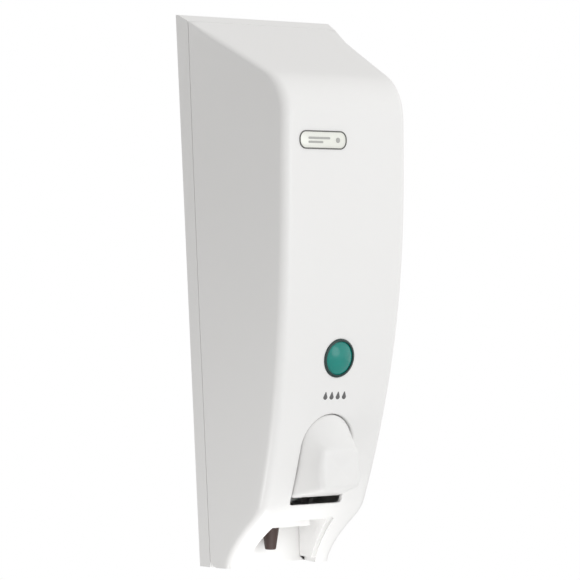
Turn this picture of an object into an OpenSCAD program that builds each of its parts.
// Wall mounted soap dispenser: a tapered housing with a drop-front cover, a refillable tank
// and a lever pump. Millimetres, +Z up. The wall is the plane y = 0 and the front faces -Y.
// The origin is the centre of the four wall screw holes, on the wall plane. Inside the
// modules, places are given as a distance forward of the wall and a height above the
// housing's bottom edge, and at() puts them into the frame.

/* [Housing] */
// Height of the housing
body_h = 280; // [225:1:340]
// Depth from the wall to the front face
body_d = 74.5; // [70:0.5:95]
// Width against the wall at the top
top_w = 100.4; // [92:0.2:124]
// Width against the wall at the bottom
bottom_w = 69.2; // [66:0.2:90]
// Wall thickness of the mouldings
wall = 2.5; // [2:0.1:3.2]
// Depth of the back plate, from the wall to the parting line
plate_d = 8; // [7:0.5:10]
// Gap at the parting line
parting_gap = 0.4; // [0.2:0.1:0.8]

/* [Front shape] */
// Angle of the top slope below level
slope_angle = 27; // [20:1:35]
// Radius between the top slope and the front face
shoulder_r = 25; // [10:1:30]
// Height of the plumb stretch of the front face, under the shoulder
plumb_h = 24; // [10:1:60]
// How far the front face sweeps back at its lower lip
sweep_back = 25.7; // [15:0.1:30]
// Power of the sweep: larger keeps the curve low down
sweep_power = 2.4; // [1.8:0.1:3]
// Height of the front face's lower lip
lip_h = 28.8; // [26:0.1:34]
// Depth of the chin at the bottom edge
chin_d = 22.6; // [20:0.1:28]
// Radius of the front's upright edges
corner_r = 5; // [3:0.5:8]

/* [Hand notch] */
// Half width of the notch at the wall side
notch_rear_half = 28.4; // [26:0.1:29]
// Half width of the notch between the front rims
notch_front_half = 19; // [16:0.5:22]
// Height of the notch's ceiling
notch_h = 26.5; // [24:0.5:28]

/* [Wall fixing] */
// Diameter of the wall screw holes
screw_hole_d = 5; // [4:0.1:6]
// Distance between the holes, left to right
screw_span_x = 60; // [50:1:66]
// Distance between the holes, up and down
screw_span_z = 160; // [120:1:170]
// Height of the lower wall screw holes
screw_low_h = 96; // [92:1:110]

/* [Push button] */
// Half width of the opening in the cover
opening_half = 17; // [15:0.5:18]
// Height of the opening's lower edge
opening_low_h = 33; // [32:0.5:36]
// Height of the opening's arched top
opening_top_h = 79; // [74:0.5:82]
// Gap between the button and its opening
button_gap = 0.9; // [0.5:0.1:1.4]
// Height of the slot under the button
button_slot = 3.4; // [3:0.1:5]
// How far the thumb pad stands in front of the cover at the arch's top
pad_stand = 7.5; // [5:0.1:10]
// Half width of the thumb pad
pad_half = 13.8; // [10:0.1:15]
// Angle that the button swings when pressed
press_angle = 12; // [8:1:12]

/* [Pump] */
// Height of the pump's axis
pump_h = 46; // [45:0.5:48]
// Bore of the pump
pump_bore_d = 16; // [14:0.5:17]
// Wall of the pump barrel
pump_wall = 3; // [2.5:0.1:3.2]
// Diameter of the plunger's rod
rod_d = 8; // [7:0.5:9]
// Radial clearance of a running fit
running_gap = 0.05; // [0.02:0.01:0.09]
// Distance of the nozzle's axis from the wall
nozzle_d = 14.5; // [14:0.5:16]
// Height of the nozzle's tip
nozzle_tip_h = 7.5; // [5:0.5:12]
// Radius of the drip shield
shield_r = 13; // [10:0.5:13]

/* [Tank] */
// Wall thickness of the tank
tank_wall = 1.8; // [1.5:0.1:2.2]
// Height of the tank's floor
tank_low_h = 84; // [83.5:0.5:90]
// Room between the tank and the cover
tank_gap = 2.5; // [2:0.5:5]
// Inner diameter of the filling mouth
mouth_d = 38; // [30:1:42]
// Height of the filling mouth's rim above the tank
mouth_h = 7; // [6:0.5:8]

/* [Window and badge] */
// Height of the sight window's centre
window_h = 107; // [98:0.5:120]
// Diameter of the window's green lens
lens_d = 17; // [14:0.5:20]
// Width of the dark ring round the lens
seal_w = 1.2; // [0.8:0.1:2]
// Height of the lens's dome
dome_h = 2.4; // [1:0.1:4]
// Height of the badge's centre
badge_h = 215.6; // [150:0.2:225]
// Place of the badge's centre, left of the middle
badge_x = -15.9; // [-20:0.1:0]
// Width of the badge
badge_w = 30.6; // [20:0.1:34]
// Height of the badge plate
badge_t = 9.2; // [7:0.1:12]
// Height of the row of drops over the button
drops_h = 88.2; // [84:0.2:92]

/* [Hidden] */
$fn = 48;
hull_fn = 24;

// How far a cutting solid runs past the face that it cuts
over = 1;
// Gap between pieces of different bodies that meet face to face
clear = 0.4;
origin_h = screw_low_h + screw_span_z / 2;

// Side draft: the sides lean in towards the front, and more so at the top
draft_low = 0.03;
draft_gain = 0.07;
draft_start_h = 100;
draft_rise_h = 135;
// Level land at the top edge, before the slope starts
top_land = 1.5;
// Power of the chin's hollow curve, and the reach of the rounding at the lip
chin_power = 1.5;
lip_blend = 5;
arc_steps = 6;

// ---- the housing's outer surface -------------------------------------------------------

shoulder_h = (top_land * sin(slope_angle) + body_h * cos(slope_angle) - shoulder_r
    - (body_d - shoulder_r) * sin(slope_angle)) / cos(slope_angle);
slope_end_h = shoulder_h + shoulder_r * cos(slope_angle);
sweep_h = shoulder_h - plumb_h;

function slope_front(h) = top_land + (body_h - h) / tan(slope_angle);
function shoulder_front(h) = body_d - shoulder_r + sqrt(max(0, pow(shoulder_r, 2) - pow(h - shoulder_h, 2)));
function sweep_front(h) = body_d - sweep_back * pow(max(0, sweep_h - h) / (sweep_h - lip_h), sweep_power);
function chin_front(h) = chin_d + (body_d - sweep_back - chin_d) * pow(max(0, h) / lip_h, chin_power);

// Smaller of two values, rounded over where they cross
function soft_min(a, b, k) = min(a, b) - k / 4 * pow(max(0, 1 - abs(a - b) / k), 2);

// Forward distance of the outer surface at a height, on the housing's middle line
function front(h) =
    h > slope_end_h ? slope_front(h) :
    h > shoulder_h ? shoulder_front(h) :
    h > 2 * lip_h ? sweep_front(h) :
    soft_min(sweep_front(h), chin_front(h), lip_blend);

// Lean of the front face at a height, in degrees: positive where the face looks downwards
function face_lean(h) = atan(front(h + 0.5) - front(h - 0.5));

// Half width of the housing at a height and a forward distance
function draft(h) = draft_low + draft_gain * pow(max(0, h - draft_start_h) / draft_rise_h, 2);
function half_w(h, d) = (bottom_w + (top_w - bottom_w) * h / body_h) / 2 - d * draft(h);

// Forward distance of the cover's inner surface
roof_drop = wall / cos(slope_angle);
function inner_front(h) = min(front(h) - wall, front(h + roof_drop), front(max(0, h - roof_drop)));

// ---- places and small shapes -----------------------------------------------------------

// Puts its children at a place: x, forward of the wall, and height above the bottom edge
module at(x = 0, d = 0, h = 0) translate([x, -d, h - origin_h]) children();

// Puts its children on the front face, with their +Z pointing out of the face
module on_face(h, x = 0) at(x, front(h), h) rotate([90 + face_lean(h), 0, 0]) children();

// Turns a part's +Z to point forwards, away from the wall
module forwards() rotate([90, 0, 0]) children();

// A block between two corners, each given as x, forward distance and height
module block(a, b)
    translate([min(a[0], b[0]), -max(a[1], b[1]), min(a[2], b[2]) - origin_h])
        cube([abs(a[0] - b[0]), abs(a[1] - b[1]), abs(a[2] - b[2])]);

// A rod along X, centred on the middle line
module cross_rod(r, length, d, h) at(0, d, h) rotate([0, 90, 0]) cylinder(r = r, h = length, center = true);

// A flat outline with rounded corners
module rounded_bar(w, t, r) {
    square([w - 2 * r, t], center = true);
    square([w, t - 2 * r], center = true);
    for (x = [-1, 1], y = [-1, 1])
        translate([x * (w / 2 - r), y * (t / 2 - r)]) circle(r);
}

// A doorway outline with a round arch, standing on y = 0
module doorway(half, tall) {
    translate([-half, 0]) square([2 * half, tall - half]);
    translate([0, tall - half]) circle(half);
}

// A ring standing on z = 0
module ring(r_out, r_in, t)
    difference() {
        cylinder(r = r_out, h = t);
        translate([0, 0, -over]) cylinder(r = r_in, h = t + 2 * over);
    }

// Joins flat sections with the same number of points, lowest first, into one solid
module loft(sections) {
    n = len(sections[0]);
    m = len(sections);
    polyhedron(
        points = [for (s = sections) for (p = s) p],
        faces = concat(
            [for (j = [0 : m - 2]) for (i = [0 : n - 1])
                [j * n + i, (j + 1) * n + i, (j + 1) * n + (i + 1) % n]],
            [for (j = [0 : m - 2]) for (i = [0 : n - 1])
                [j * n + i, (j + 1) * n + (i + 1) % n, j * n + (i + 1) % n]],
            [[for (i = [0 : n - 1]) i]],
            [[for (i = [n - 1 : -1 : 0]) (m - 1) * n + i]]
        )
    );
}

// Level outline of the housing from a rear distance to a front distance, with round front edges
function outline(h, rear, ahead, inset) =
    let (
        r = min(corner_r - inset / 2, (ahead - rear) / 3),
        x = half_w(h, ahead) - inset,
        z = h - origin_h
    )
    concat(
        [[-(half_w(h, rear) - inset), -rear, z]],
        [for (i = [0 : arc_steps]) let (a = 90 * i / arc_steps) [-x + r - r * cos(a), r - ahead - r * sin(a), z]],
        [for (i = [arc_steps : -1 : 0]) let (a = 90 * i / arc_steps) [x - r + r * cos(a), r - ahead - r * sin(a), z]],
        [[half_w(h, rear) - inset, -rear, z]]
    );

// Heights of the sections: close together at the chin and the shoulder, wider elsewhere
function stations(low, high) =
    let (
        chin_step = 3.5,
        sweep_step = 11,
        shoulder_step = 4,
        chin_end = 1.5 * lip_h,
        all = concat(
            [for (h = [low + chin_step : chin_step : chin_end]) h],
            [for (h = [chin_end + sweep_step / 2 : sweep_step : sweep_h]) h],
            [for (h = [sweep_h + sweep_step / 2 : sweep_step : shoulder_h - shoulder_step / 2]) h],
            [for (h = [shoulder_h : shoulder_step : slope_end_h]) h],
            [for (h = [slope_end_h + shoulder_step / 2 : sweep_step : high - shoulder_step / 2]) h]
        )
    )
    concat([low], [for (h = all) if (h > low && h < high) h], [high]);

// ---- heights and distances that several pieces share -----------------------------------

cover_rear = plate_d + parting_gap;
cover_top_h = body_h - (cover_rear + 1 - top_land) * tan(slope_angle);

// Cover hinge: stubs on the cover's side walls turn in ears on the back plate
hinge_r = 2;
hinge_d = cover_rear + 3.7;
hinge_h = 4;
hinge_ear_r = 3.4;
hinge_ear_t = 3;
hinge_ear_x = half_w(hinge_h, hinge_d) - wall - clear - hinge_ear_t;

// Face of the thumb pad, from the wall
pad_d = front(opening_top_h) + pad_stand;

// Button pivot
pivot_r = 1.5;
pivot_ear_r = 3.6;
pivot_ear_t = 2.8;
pivot_d = front(opening_top_h) - 9;
pivot_h = opening_top_h - 6;
opening_lean = atan((front(opening_top_h) - front(opening_low_h)) / (opening_top_h - opening_low_h));

// Pump: everything along its axis, as distances from the wall
plate_floor = wall;
bracket_t = 2.5;
boss_h = 2;
boss_front_d = plate_floor + boss_h;
pump_rear_d = boss_front_d + bracket_t;
chamber_rear_d = pump_rear_d + pump_wall;
pump_arm = pivot_h - pump_h;
pump_stroke = pump_arm * press_angle * PI / 180;
port_r = 2.5;
piston_rear_d = nozzle_d + port_r + pump_stroke + 0.6;
piston_t = 4.2;
barrel_front_d = piston_rear_d + piston_t + 1.5;
gland_t = 2;
spring_wire_r = 0.5;
spring_turns = 5;
spring_l = pump_stroke + 2 * spring_wire_r * (spring_turns + 1);
head_rear_d = barrel_front_d + gland_t + spring_l;
head_t = 1.6;
head_r = 7;
barrel_r = pump_bore_d / 2 + pump_wall;

// Inlet and outlet, as heights on the nozzle's axis
port_boss_r = 7.5;
socket_r = 6.2;
neck_r = 4.2;
shelf_t = 2.6;
shelf_top_h = tank_low_h - clear;
socket_top_h = shelf_top_h - shelf_t - clear;
cage_h = pump_h + pump_bore_d / 2 + 3;
cage_t = 2;
ball_r = 3.2;
ball_lift = 1.5;
rib_drop = 0.8;
ball_h = cage_h + cage_t - rib_drop + ball_r;
seat_r = 2.4;
seat_t = 1.6;
seat_h = ball_h + ball_lift + sqrt(pow(ball_r, 2) - pow(seat_r, 2)) + 0.05;
pocket_r = ball_r + 0.9;
outlet_boss_r = 4.8;
outlet_low_h = pump_h - barrel_r - 4.5;
nozzle_wall = 1.6;
shield_h = 22;
shield_t = 1.4;

// Tank
tank_r = 6;
tank_rear_d = plate_d + tank_r - 1;
tank_top_h = body_h - 46;
cap_d = tank_rear_d + 20;
cap_r = mouth_d / 2 + tank_wall + 3.4;
cap_top_t = 2.2;
cap_skirt_h = 6;

// Screws
small_screw_r = 1.5;
small_head_r = 2.9;
small_head_t = 2;
boss_r = 3.6;
bracket_screw_x = 22;
bracket_screw_hs = [38, 70];
bracket_half = 27;
bracket_low_h = 33;
pump_screw_dh = 6;
head_room = 0.3;
pump_screw_x = sqrt(pow(barrel_r + small_head_r + head_room, 2) - pow(pump_screw_dh, 2));
pump_flange_half = pump_screw_x + small_head_r + head_room;

// Catch at the top
catch_h = body_h - 20;
catch_half = 9;
catch_leaf_t = 0.8;
catch_mouth = 3.2;
tongue_t = 2.2;
tongue_half = 7;
tongue_rear_d = plate_d - 2;
catch_front_d = plate_d + 4;

// ---- back plate ------------------------------------------------------------------------

function plate_outline(h) =
    let (ahead = min(plate_d, front(h)), z = h - origin_h)
    [[-half_w(h, 0), 0, z], [-half_w(h, ahead), -ahead, z], [half_w(h, ahead), -ahead, z], [half_w(h, 0), 0, z]];

plate_heights = [0, 0.2 * body_h, 0.4 * body_h, 0.6 * body_h, 0.8 * body_h,
    body_h - (plate_d - top_land) * tan(slope_angle), body_h];

// Tray inside the rim: an upright outline, cut to the floor
module plate_pocket() {
    low = notch_h + wall;
    high = body_h - 8;
    rim = 2 * wall;
    forwards()
        translate([0, -origin_h, plate_floor])
            linear_extrude(plate_d)
                polygon([[-half_w(low, 0) + rim, low], [half_w(low, 0) - rim, low],
                    [half_w(high, 0) - rim, high], [-half_w(high, 0) + rim, high]]);
}

// The hollow behind the notch's back wall, open to the wall
module plate_foot_hollow() {
    rib = 2;
    block([-notch_rear_half + wall, -over, wall], [-rib / 2, plate_d - wall, notch_h - wall]);
    block([rib / 2, -over, wall], [notch_rear_half - wall, plate_d - wall, notch_h - wall]);
}

module hinge_ear(side) {
    inner = side * hinge_ear_x;
    outer = side * (hinge_ear_x + hinge_ear_t);
    block([inner, plate_d - over, hinge_h - hinge_ear_r], [outer, hinge_d, hinge_h + hinge_ear_r]);
    at((inner + outer) / 2, hinge_d, hinge_h)
        rotate([0, 90, 0]) cylinder(r = hinge_ear_r, h = hinge_ear_t, center = true);
}

module back_plate() color("whitesmoke") {
    difference() {
        union() {
            difference() {
                loft([for (h = plate_heights) plate_outline(h)]);
                plate_pocket();
                plate_foot_hollow();
            }
            for (side = [-1, 1]) hinge_ear(side);
            // Bosses for the bracket's screws
            for (x = [-1, 1], h = bracket_screw_hs)
                at(x * bracket_screw_x, plate_floor - over, h) forwards()
                    cylinder(r = boss_r, h = boss_front_d - plate_floor + over);
            // Post that carries the catch
            block([-catch_half, plate_floor - over, catch_h - 4], [catch_half, tongue_rear_d - 2, catch_h + 4]);
        }
        for (x = [-1, 1], z = [-1, 1])
            at(x * screw_span_x / 2, -over, origin_h + z * screw_span_z / 2) forwards()
                cylinder(d = screw_hole_d, h = plate_floor + 2 * over);
        for (x = [-1, 1], h = bracket_screw_hs)
            at(x * bracket_screw_x, 0, h) forwards()
                translate([0, 0, 1]) cylinder(r = small_screw_r, h = boss_front_d);
        cross_rod(hinge_r + running_gap, bottom_w + 2 * over, hinge_d, hinge_h);
    }
}

// ---- bracket: carries the pump and the tank --------------------------------------------

module bracket() color("gainsboro") {
    gusset_t = 2;
    shelf_front = inner_front(shelf_top_h) - clear - 4;
    shelf_half = half_w(shelf_top_h, shelf_front) - wall - tank_gap;
    difference() {
        union() {
            block([-bracket_half, boss_front_d, bracket_low_h], [bracket_half, pump_rear_d, shelf_top_h]);
            block([-shelf_half, boss_front_d, shelf_top_h - shelf_t], [shelf_half, shelf_front, shelf_top_h]);
            for (side = [-1, 1])
                at(side * (bracket_half - gusset_t / 2), 0, 0)
                    rotate([90, 0, 90])
                        linear_extrude(gusset_t, center = true)
                            polygon([[-pump_rear_d + 0.5, bracket_low_h + 12],
                                [-pump_rear_d + 0.5, shelf_top_h - 1], [-shelf_front + 12, shelf_top_h - 1],
                                [-shelf_front + 12, shelf_top_h - shelf_t - 2]]);
        }
        at(0, nozzle_d, shelf_top_h - shelf_t - over) cylinder(r = neck_r + 2, h = shelf_t + 2 * over);
        for (x = [-1, 1], h = bracket_screw_hs)
            at(x * bracket_screw_x, boss_front_d - over, h) forwards()
                cylinder(r = small_screw_r + 0.1, h = bracket_t + 2 * over);
        for (x = [-1, 1], z = [-1, 1])
            at(x * pump_screw_x, boss_front_d - over, pump_h + z * pump_screw_dh) forwards()
                cylinder(r = small_screw_r, h = bracket_t + 2 * over);
    }
}

// Pan head screw pointing at the wall, its head's seat on z = 0
module small_screw(length) {
    slot = 0.7;
    difference() {
        cylinder(r = small_head_r, h = small_head_t);
        translate([-slot / 2, -small_head_r, small_head_t - slot]) cube([slot, 2 * small_head_r, slot + over]);
        translate([-small_head_r, -slot / 2, small_head_t - slot]) cube([2 * small_head_r, slot, slot + over]);
    }
    translate([0, 0, -length]) cylinder(r = small_screw_r, h = length);
}

module bracket_screws() color("silver")
    for (x = [-1, 1], h = bracket_screw_hs)
        at(x * bracket_screw_x, pump_rear_d, h) forwards() small_screw(pump_rear_d - 1);

module pump_screws() color("silver")
    for (x = [-1, 1], z = [-1, 1])
        at(x * pump_screw_x, chamber_rear_d, pump_h + z * pump_screw_dh) forwards()
            small_screw(chamber_rear_d - boss_front_d);

// ---- catch: a sprung clip that grips the cover's tongue ----------------------------------

module cover_catch() color("silver") {
    low = catch_h - catch_mouth / 2 - catch_leaf_t;
    high = catch_h + catch_mouth / 2 + catch_leaf_t;
    post_front = tongue_rear_d - 2;
    block([-catch_half + 1, post_front, low], [catch_half - 1, post_front + catch_leaf_t, high]);
    block([-catch_half + 1, post_front, low], [catch_half - 1, catch_front_d, low + catch_leaf_t]);
    block([-catch_half + 1, post_front, high - catch_leaf_t], [catch_half - 1, catch_front_d, high]);
}

// ---- cover -------------------------------------------------------------------------------

module housing_shell() {
    heights = stations(0, cover_top_h);
    loft([for (h = heights) outline(h, cover_rear, front(h), 0)]);
}

module housing_hollow() {
    top = body_h - roof_drop - (cover_rear - 2) * tan(slope_angle);
    heights = stations(wall, top);
    loft([for (h = heights) outline(h, 0, inner_front(h), wall)]);
}

// The space between the cheeks. A wall of the given thickness lines it.
module notch_space(lining) {
    slant = (notch_rear_half - notch_front_half) / (front(notch_h) - plate_d);
    far = body_d + over;
    front_half = notch_rear_half - slant * (far - plate_d);
    at(0, 0, -over)
        linear_extrude(notch_h + lining + over)
            polygon([[-notch_rear_half - slant * plate_d - lining, 0], [-front_half - lining, -far],
                [front_half + lining, -far], [notch_rear_half + slant * plate_d + lining, 0]]);
}

// Room for the nozzle and its shield to pass as the cover swings
module nozzle_slot()
    block([-shield_r - 1, 0, notch_h - over], [shield_r + 1, nozzle_d + shield_r + 1.5, notch_h + wall + over]);

module button_opening()
    at(0, front(opening_low_h) - 3 * wall, opening_low_h) forwards()
        linear_extrude(body_d) doorway(opening_half, opening_top_h - opening_low_h);

// Stubs that turn in the back plate's ears, and the room that the ears sweep
module hinge_stub(side) {
    root = half_w(hinge_h, hinge_d) - wall / 2;
    at(side * (root + hinge_ear_x) / 2, hinge_d, hinge_h)
        rotate([0, 90, 0]) cylinder(r = hinge_r, h = root - hinge_ear_x, center = true);
}

module hinge_room(side) {
    reach = hinge_ear_r + clear;
    inner = side * (hinge_ear_x - clear);
    outer = side * (hinge_ear_x + hinge_ear_t + clear);
    at((inner + outer) / 2, hinge_d, hinge_h)
        rotate([0, 90, 0]) cylinder(r = reach, h = hinge_ear_t + 2 * clear, center = true);
    block([inner, 0, hinge_h - reach], [outer, hinge_d, hinge_h + reach]);
    block([inner, hinge_d - reach, -over], [outer, hinge_d + reach, hinge_h]);
}

// Rounds the cover's lower rear corner about the hinge axis
module heel_cut() {
    reach = hinge_d - cover_rear;
    difference() {
        block([-bottom_w, 0, -over], [bottom_w, hinge_d, hinge_h]);
        cross_rod(reach, 3 * bottom_w, hinge_d, hinge_h);
    }
}

module pivot_ear(side) {
    inner = opening_half + 0.3;
    mid = side * (inner + pivot_ear_t / 2);
    at(mid, pivot_d, pivot_h) rotate([0, 90, 0]) cylinder(r = pivot_ear_r, h = pivot_ear_t, center = true);
    block([side * inner, pivot_d, pivot_h - pivot_ear_r],
        [side * (inner + pivot_ear_t), front(pivot_h - pivot_ear_r) - 1, pivot_h + pivot_ear_r - 1]);
}

// Web under the roof, with a tongue that slides into the catch
module cover_tongue() {
    web_rear = catch_front_d + 1.5;
    block([-tongue_half, web_rear, catch_h - tongue_t / 2],
        [tongue_half, web_rear + tongue_t, inner_top(web_rear + tongue_t) + 1]);
    block([-tongue_half, tongue_rear_d, catch_h - tongue_t / 2], [tongue_half, web_rear + tongue_t, catch_h + tongue_t / 2]);
}
function inner_top(d) = body_h - roof_drop - (d - top_land) * tan(slope_angle);

badge_sink = 0.8;
window_r = lens_d / 2 + seal_w;

module front_cover() color("white") {
    difference() {
        housing_shell();
        difference() {
            housing_hollow();
            notch_space(wall);
        }
        notch_space(0);
        nozzle_slot();
        button_opening();
        for (side = [-1, 1]) hinge_room(side);
        heel_cut();
        on_face(window_h) translate([0, 0, -2 * wall]) cylinder(r = window_r, h = 3 * wall);
        on_face(badge_h, badge_x) translate([0, 0, -badge_sink])
            linear_extrude(wall) rounded_bar(badge_w, badge_t, badge_t * 0.45);
    }
    for (side = [-1, 1]) {
        hinge_stub(side);
        pivot_ear(side);
    }
    cover_tongue();
}

// ---- sight window ------------------------------------------------------------------------

lens_back = wall + 1.8;

module lens() color([0.16, 0.5, 0.45]) {
    edge_r = lens_d / 2;
    dome_r = (pow(edge_r, 2) + pow(dome_h, 2)) / (2 * dome_h);
    dome_angle = asin(edge_r / dome_r);
    on_face(window_h)
        rotate_extrude()
            polygon(concat(
                [[0, -lens_back], [edge_r, -lens_back]],
                [for (i = [0 : arc_steps]) let (a = dome_angle * (1 - i / arc_steps))
                    [dome_r * sin(a), dome_r * cos(a) - dome_r + dome_h]]
            ));
}

module lens_seal() color("darkslategray")
    on_face(window_h) {
        translate([0, 0, -wall]) ring(window_r, lens_d / 2, wall + 0.5);
    }

module lens_clip() color("gainsboro")
    on_face(window_h) translate([0, 0, -lens_back + 0.1]) ring(window_r + 2.4, lens_d / 2, 1.4);

// ---- badge and marks -----------------------------------------------------------------------

badge_rim_w = 0.9;

module badge_rim() color("dimgray")
    on_face(badge_h, badge_x) translate([0, 0, -badge_sink])
        linear_extrude(badge_sink + 0.5) difference() {
            rounded_bar(badge_w, badge_t, badge_t * 0.45);
            rounded_bar(badge_w - 2 * badge_rim_w, badge_t - 2 * badge_rim_w, badge_t * 0.45 - badge_rim_w);
        }

// Plain plate with raised bars
module badge_plate() color("lightgray") {
    inner_w = badge_w - 2 * badge_rim_w;
    inner_t = badge_t - 2 * badge_rim_w;
    on_face(badge_h, badge_x) translate([0, 0, -badge_sink]) {
        linear_extrude(badge_sink) rounded_bar(inner_w, inner_t, badge_t * 0.45 - badge_rim_w);
        translate([-inner_w * 0.32, -0.5, 0]) cube([inner_w * 0.5, 1, badge_sink + 0.25]);
        translate([inner_w * 0.34, 0, 0]) cylinder(r = 1.1, h = badge_sink + 0.25);
    }
}

// A falling drop, its point upwards, standing on z = 0
module drop_shape(tall) {
    r = tall * 0.33;
    circle(r);
    polygon([[-r * cos(30), r * sin(30)], [0, tall - r], [r * cos(30), r * sin(30)]]);
}

module drop_mark() color("dimgray") {
    tall = 4;
    count = 4;
    pitch = 4.1;
    sink = 0.2;
    proud = 0.12;
    on_face(drops_h)
        for (i = [0 : count - 1])
            translate([(i - (count - 1) / 2) * pitch, -tall * 0.17, -sink])
                linear_extrude(sink + proud) drop_shape(tall);
}

// ---- button ----------------------------------------------------------------------------------

module button_pin() color("silver") cross_rod(pivot_r, 2 * (opening_half + 0.3 + pivot_ear_t), pivot_d, pivot_h);

// Puts its children in the plane of the opening: +X right, +Y up along the face, +Z out of it
module in_opening() at(0, front(opening_low_h), opening_low_h) rotate([90 + opening_lean, 0, 0]) children();

button_half = opening_half - button_gap;
button_low = button_slot / cos(opening_lean);
button_tall = (opening_top_h - opening_low_h - button_slot) / cos(opening_lean) - button_gap;

// Wedge between the doorway in the face and the plumb thumb pad
module button_wedge(inset) {
    edge_r = 4;
    pad_low = opening_low_h + button_slot + 3 + inset;
    pad_high = opening_top_h - 15 - inset;
    x = pad_half - edge_r - inset / 2;
    hull() {
        in_opening() translate([0, button_low + inset, -4.5])
            linear_extrude(3.5 - inset / 2) doorway(button_half - inset, button_tall - 2 * inset);
        for (side = [-1, 1], h = [pad_low + edge_r, pad_high - edge_r])
            at(side * x, pad_d - inset - edge_r, h) sphere(r = edge_r, $fn = hull_fn);
    }
}

module push_button() color("white") {
    skin = 2;
    rim = skin + 0.15;
    stop_inner = button_half - 1.5;
    stop_outer = opening_half + 2.3;
    web_t = 3;
    nose_r = 4;
    difference() {
        union() {
            difference() {
                button_wedge(0);
                button_wedge(skin);
                // Opens the hollow to the back, a little inside the hollow's own walls
                in_opening() translate([0, button_low + rim, -2 * body_d - 2.5])
                    linear_extrude(2 * body_d) doorway(button_half - rim, button_tall - 2 * rim);
            }
            // Pivot barrel and the webs that carry it
            cross_rod(pivot_r + 1.6, 2 * opening_half - 0.4, pivot_d, pivot_h);
            for (side = [-1, 1])
                block([side * (button_half - 7), pivot_d, pivot_h - 2.2],
                    [side * (button_half - 5), front(pivot_h) - 2, pivot_h + 2.2]);
            // Stops that meet the back of the cover's front wall
            for (side = [-1, 1])
                in_opening() translate([side * (stop_inner + stop_outer) / 2, 18, -wall - 1.8])
                    cube([stop_outer - stop_inner, 18, 1.6], center = true);
            // Web and nose that push the plunger
            block([-web_t / 2, head_rear_d + head_t + clear + nose_r, pump_h - 4],
                [web_t / 2, pad_d - 1, pump_h + 6]);
            cross_rod(nose_r, 10, head_rear_d + head_t + clear + nose_r, pump_h);
        }
        cross_rod(pivot_r + running_gap, 3 * opening_half, pivot_d, pivot_h);
    }
}

// ---- pump --------------------------------------------------------------------------------------

// Rod with a round head for the button and a piston for the bore
module plunger() color("ivory") {
    seal_t = 2.2;
    groove = (piston_t - seal_t) / 2;
    at(0, piston_rear_d, pump_h) forwards() {
        difference() {
            cylinder(d = pump_bore_d - 0.6, h = piston_t);
            translate([0, 0, groove]) ring(pump_bore_d, pump_bore_d / 2 - 1.5, seal_t);
        }
        cylinder(d = rod_d, h = head_rear_d - piston_rear_d + head_t / 2);
        translate([0, 0, head_rear_d - piston_rear_d]) cylinder(r = head_r, h = head_t);
    }
}

module piston_seal() color("dimgray") {
    seal_t = 2.2;
    at(0, piston_rear_d + (piston_t - seal_t) / 2, pump_h) forwards()
        ring(pump_bore_d / 2 - running_gap, pump_bore_d / 2 - 1.5, seal_t);
}

// Wire along a helix round the rod
module pump_spring() color("silver") {
    coil_r = rod_d / 2 + 1.4;
    steps = 18 * spring_turns;
    sides = 8;
    rise = (spring_l - 2 * spring_wire_r - 0.2) / steps;
    at(0, barrel_front_d + gland_t + spring_wire_r + 0.1, pump_h) forwards()
        loft([for (i = [0 : steps]) let (a = 360 * spring_turns * i / steps)
            [for (k = [0 : sides - 1]) let (b = -360 * k / sides, r = coil_r + spring_wire_r * cos(b))
                [r * cos(a), r * sin(a), i * rise + spring_wire_r * sin(b)]]]);
}

module pump_body() color("gainsboro") {
    boss_top = socket_top_h;
    socket_h = 9;
    difference() {
        union() {
            at(0, pump_rear_d, pump_h) forwards() cylinder(r = barrel_r, h = barrel_front_d - pump_rear_d);
            block([-pump_flange_half, pump_rear_d, pump_h - barrel_r + 1],
                [pump_flange_half, chamber_rear_d, pump_h + barrel_r - 1]);
            at(0, nozzle_d, pump_h) cylinder(r = port_boss_r, h = boss_top - pump_h);
            at(0, nozzle_d, outlet_low_h) cylinder(r = outlet_boss_r, h = pump_h - outlet_low_h);
        }
        at(0, chamber_rear_d, pump_h) forwards() cylinder(d = pump_bore_d, h = body_d);
        at(0, nozzle_d, pump_h) cylinder(r = port_r, h = boss_top);
        at(0, nozzle_d, cage_h) cylinder(r = pocket_r, h = boss_top);
        at(0, nozzle_d, boss_top - socket_h) cylinder(r = socket_r, h = boss_top);
        at(0, nozzle_d, outlet_low_h - over) cylinder(r = port_r, h = pump_h - outlet_low_h);
        for (x = [-1, 1], z = [-1, 1])
            at(x * pump_screw_x, pump_rear_d - over, pump_h + z * pump_screw_dh) forwards()
                cylinder(r = small_screw_r, h = pump_wall + 2 * over);
    }
}

// Screw cap that closes the barrel round the rod
module pump_gland() color("lightgray") {
    skirt = 6;
    at(0, barrel_front_d - skirt, pump_h) forwards() difference() {
        union() {
            cylinder(r = barrel_r + 1.6, h = skirt + gland_t);
            for (i = [0 : 11])
                rotate([0, 0, 30 * i]) translate([barrel_r + 1.6, 0, 0]) cylinder(r = 0.8, h = skirt + gland_t);
        }
        translate([0, 0, -over]) cylinder(r = barrel_r, h = skirt + over);
        cylinder(r = rod_d / 2 + running_gap, h = skirt + gland_t + over);
    }
}

// Star of ribs that holds the ball off the port
module inlet_cage() color("gainsboro")
    at(0, nozzle_d, cage_h) {
        ring(pocket_r, ball_r - 0.6, cage_t);
        for (i = [0 : 2])
            rotate([0, 0, 60 * i]) translate([-ball_r, -0.4, 0]) cube([2 * ball_r, 0.8, cage_t - rib_drop]);
    }

// Ring that the ball lifts against to close the inlet
module inlet_seat() color("gainsboro") at(0, nozzle_d, seat_h) ring(pocket_r, seat_r, seat_t);

module inlet_ball() color("silver") at(0, nozzle_d, ball_h) sphere(r = ball_r);

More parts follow.
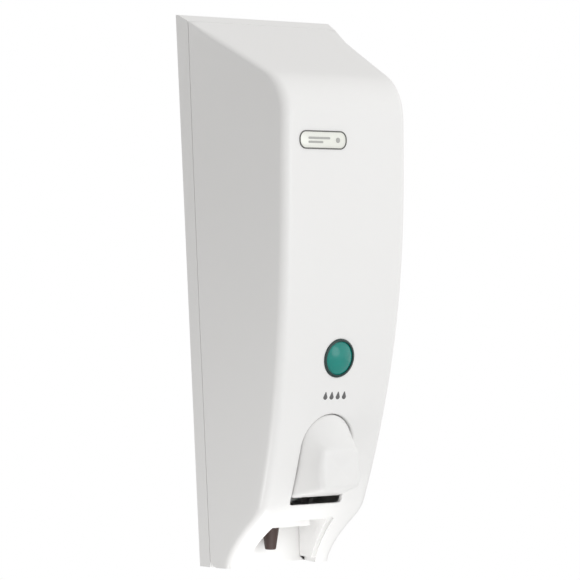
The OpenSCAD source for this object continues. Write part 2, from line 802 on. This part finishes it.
// Rubber duckbill: a round root that narrows to a slit
module outlet_valve() color("dimgray") {
    slit = 0.3;
    root_h = 1.4;
    low = outlet_low_h - 6;
    difference() {
        union() {
            at(0, nozzle_d, outlet_low_h - root_h) cylinder(r = outlet_boss_r, h = root_h);
            block([-port_r, nozzle_d - 1, low], [port_r, nozzle_d + 1, outlet_low_h - root_h + 0.2]);
        }
        block([-port_r + 0.6, nozzle_d - slit / 2, low - over], [port_r - 0.6, nozzle_d + slit / 2, outlet_low_h + over]);
    }
}

// Tapered rubber nozzle: a sleeve on the outlet boss, narrowing to a round tip
module nozzle() color([0.27, 0.2, 0.19]) {
    r_top = outlet_boss_r + nozzle_wall;
    r_mid = 4.9;
    r_tip = 2.8;
    tip_round = 1.2;
    sleeve_h = outlet_low_h + 3.6;
    bore = port_r + 0.9;
    at(0, nozzle_d, 0)
        rotate_extrude()
            polygon(concat(
                [[outlet_boss_r, sleeve_h], [outlet_boss_r, outlet_low_h - 1.4], [bore, outlet_low_h - 1.4],
                    [bore, shield_h - 1], [1.3, nozzle_tip_h + 3], [1.3, nozzle_tip_h]],
                [for (i = [0 : arc_steps]) let (a = 90 * i / arc_steps)
                    [r_tip - tip_round + tip_round * sin(a), nozzle_tip_h + tip_round * (1 - cos(a))]],
                [[r_mid, shield_h - 0.5], [r_mid, shield_h + shield_t], [r_mid + 0.2, shield_h + shield_t + 0.6],
                    [r_top, outlet_low_h - 1.6], [r_top, sleeve_h]]
            ));
}

// Thin disc round the nozzle, cut flat where it meets the back wall
module drip_shield() color("white")
    difference() {
        at(0, nozzle_d, shield_h) ring(shield_r, 4.9, shield_t);
        block([-shield_r - over, -over, 0], [shield_r + over, plate_d + 0.6, notch_h + over]);
    }

// ---- tank ----------------------------------------------------------------------------------------

tank_front_low = min(inner_front(tank_low_h), inner_front(window_h) - 2.5) - tank_gap - 1;
tank_front_high = inner_front(tank_top_h) - tank_gap;

// Half width that clears the cover's inner wall at a height and a distance
function tank_half(h, d) = half_w(h, d) - wall - tank_gap;

// Rounded body between eight corners: the shell's outside, or its inside with a smaller radius
module tank_body(r) {
    low = tank_low_h + tank_r;
    high = tank_top_h - tank_r;
    hull()
        for (side = [-1, 1]) {
            at(side * (tank_half(tank_low_h, tank_rear_d) - tank_r), tank_rear_d, low) sphere(r = r, $fn = hull_fn);
            at(side * (tank_half(tank_low_h, tank_front_low) - tank_r), tank_front_low - tank_r, low)
                sphere(r = r, $fn = hull_fn);
            at(side * (tank_half(tank_top_h, tank_rear_d) - tank_r), tank_rear_d, high) sphere(r = r, $fn = hull_fn);
            at(side * (tank_half(tank_top_h, tank_front_high) - tank_r), tank_front_high - tank_r, high)
                sphere(r = r, $fn = hull_fn);
        }
}

module tank() color([0.85, 0.9, 0.92, 0.6]) {
    neck_low = socket_top_h - 6;
    difference() {
        union() {
            tank_body(tank_r);
            at(0, nozzle_d, neck_low) cylinder(r = neck_r, h = tank_low_h - neck_low + tank_r);
            at(0, cap_d, tank_top_h - over) cylinder(r = mouth_d / 2 + tank_wall, h = mouth_h + over);
        }
        tank_body(tank_r - tank_wall);
        at(0, nozzle_d, neck_low - over) cylinder(r = port_r, h = tank_low_h - neck_low + tank_r);
        at(0, cap_d, tank_top_h - tank_r) cylinder(d = mouth_d, h = mouth_h + tank_r + over);
    }
}

module tank_seal() color("dimgray") {
    ring_r = (socket_r - neck_r) / 2 - 0.03;
    at(0, nozzle_d, socket_top_h - 4)
        rotate_extrude() translate([(socket_r + neck_r) / 2, 0]) circle(r = ring_r, $fn = 24);
}

module tank_cap() color("whitesmoke") {
    rim_h = tank_top_h + mouth_h + 1;
    grips = 24;
    at(0, cap_d, rim_h - cap_skirt_h)
        difference() {
            union() {
                cylinder(r = cap_r - 0.7, h = cap_skirt_h + cap_top_t);
                for (i = [0 : grips - 1])
                    rotate([0, 0, 360 * i / grips]) translate([cap_r - 0.8, 0, 0])
                        cylinder(r = 0.8, h = cap_skirt_h + cap_top_t - 0.6, $fn = 16);
            }
            translate([0, 0, -over]) cylinder(r = mouth_d / 2 + tank_wall + running_gap, h = cap_skirt_h + over);
            // Air hole, so that soap can leave the tank
            translate([0, 0, cap_skirt_h - over]) cylinder(r = 0.8, h = cap_top_t + 2 * over, $fn = 16);
        }
}

module cap_gasket() color("dimgray")
    at(0, cap_d, tank_top_h + mouth_h + 0.05) ring(mouth_d / 2 + tank_wall, mouth_d / 2 - 1, 0.95);

back_plate();
bracket();
bracket_screws();
cover_catch();
front_cover();
lens();
lens_seal();
lens_clip();
badge_plate();
badge_rim();
drop_mark();
button_pin();
push_button();
plunger();
piston_seal();
pump_spring();
pump_body();
pump_gland();
pump_screws();
inlet_cage();
inlet_seat();
inlet_ball();
outlet_valve();
nozzle();
drip_shield();
tank();
tank_seal();
tank_cap();
cap_gasket();
